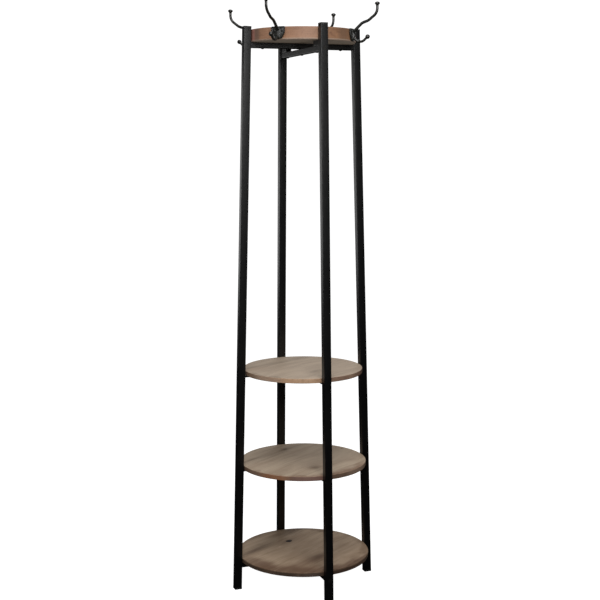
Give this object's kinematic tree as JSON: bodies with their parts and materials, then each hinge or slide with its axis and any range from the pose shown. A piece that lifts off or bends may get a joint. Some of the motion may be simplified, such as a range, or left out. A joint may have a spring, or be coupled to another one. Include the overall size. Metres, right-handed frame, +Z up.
{
  "type": "hall tree with hooks",
  "caption": "Free-standing round hall tree: splayed square steel legs, round wooden shelves, a thick wooden top disc and double coat hooks on its rim.",
  "frame": {"origin": "on the floor, in the middle of the four feet", "axes": "+Z up; the front leg is on -Y, the right leg on +X; the four hooks are on the diagonals between the legs"},
  "size_m": [0.4496, 0.4496, 1.7335],
  "materials": {
    "frame_steel": "satin black powder coat",
    "plastic_black": "fine matt texture",
    "wood_shelf": "weathered grey-brown stain, matt",
    "wood_top": "warm brown stain, matt",
    "hook_iron": "glossy black enamel",
    "fastener_black": "black oxide",
    "nut_steel": "plain zinc"
  },
  "bodies": {
    "root": {"bar_nut_blocks": "nut_steel", "base_bar_back": "frame_steel", "base_bar_front": "frame_steel", "base_bar_left_right": "frame_steel", "disc_screws_long": "fastener_black", "disc_screws_short": "fastener_black", "foot_glide_back": "plastic_black", "foot_glide_front": "plastic_black", "foot_glide_left": "plastic_black", "foot_glide_right": "plastic_black", "frame_bolts": "fastener_black", "hook_lower_prong_back_left": "hook_iron", "hook_lower_prong_back_right": "hook_iron", "hook_lower_prong_front_left": "hook_iron", "hook_lower_prong_front_right": "hook_iron", "hook_plate_back_left": "hook_iron", "hook_plate_back_right": "hook_iron", "hook_plate_front_left": "hook_iron", "hook_plate_front_right": "hook_iron", "hook_screws": "fastener_black", "hook_upper_prong_back_left": "hook_iron", "hook_upper_prong_back_right": "hook_iron", "hook_upper_prong_front_left": "hook_iron", "hook_upper_prong_front_right": "hook_iron", "leg_back": "frame_steel", "leg_cap_back": "plastic_black", "leg_cap_front": "plastic_black", "leg_cap_left": "plastic_black", "leg_cap_right": "plastic_black", "leg_front": "frame_steel", "leg_left": "frame_steel", "leg_right": "frame_steel", "shelf_lower": "wood_shelf", "shelf_lower_screws": "fastener_black", "shelf_middle": "wood_shelf", "shelf_middle_screws": "fastener_black", "shelf_middle_tab_back": "frame_steel", "shelf_middle_tab_front": "frame_steel", "shelf_middle_tab_left": "frame_steel", "shelf_middle_tab_right": "frame_steel", "shelf_upper": "wood_shelf", "shelf_upper_screws": "fastener_black", "shelf_upper_tab_back": "frame_steel", "shelf_upper_tab_front": "frame_steel", "shelf_upper_tab_left": "frame_steel", "shelf_upper_tab_right": "frame_steel", "top_bar_front_back": "frame_steel", "top_bar_left_right": "frame_steel", "top_disc": "wood_top", "top_riser_back": "frame_steel", "top_riser_front": "frame_steel"}
  },
  "joints": []
}
